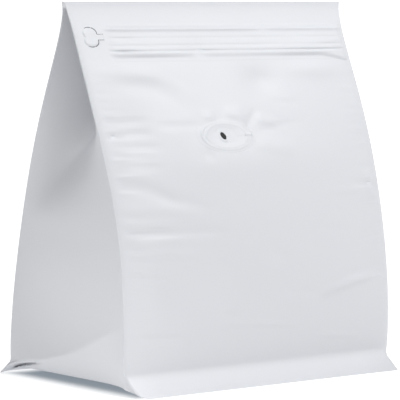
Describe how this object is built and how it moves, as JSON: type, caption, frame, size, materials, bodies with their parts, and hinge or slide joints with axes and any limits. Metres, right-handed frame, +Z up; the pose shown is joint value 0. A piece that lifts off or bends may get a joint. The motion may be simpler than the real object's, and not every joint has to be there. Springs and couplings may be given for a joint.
{
  "type": "box pouch coffee bag",
  "caption": "Shut flat-bottomed coffee pouch of matte white film, with folded side gussets, flared bottom fins, a zip strip, a tear tab and an oval degassing valve.",
  "frame": {"origin": "on the table under the middle of the pouch's base", "axes": "+Z up to the top seal, the front panel with the zip and the valve faces -Y, +X to the right seen from the front"},
  "size_m": [0.2146, 0.1432, 0.225],
  "materials": {
    "pouch_film": "matte white laminate film with a soft sheen, lightly puckered",
    "zip_film": "matte white film drawn over the ribs of a press-to-close strip",
    "tab_film": "matte white film with a scored outline",
    "valve_plastic": "satin white valve disc under the film with a dark slot"
  },
  "bodies": {
    "root": {"pouch": "pouch_film", "zip_strip": "zip_film", "tear_tab": "tab_film", "valve": "valve_plastic"}
  },
  "joints": []
}
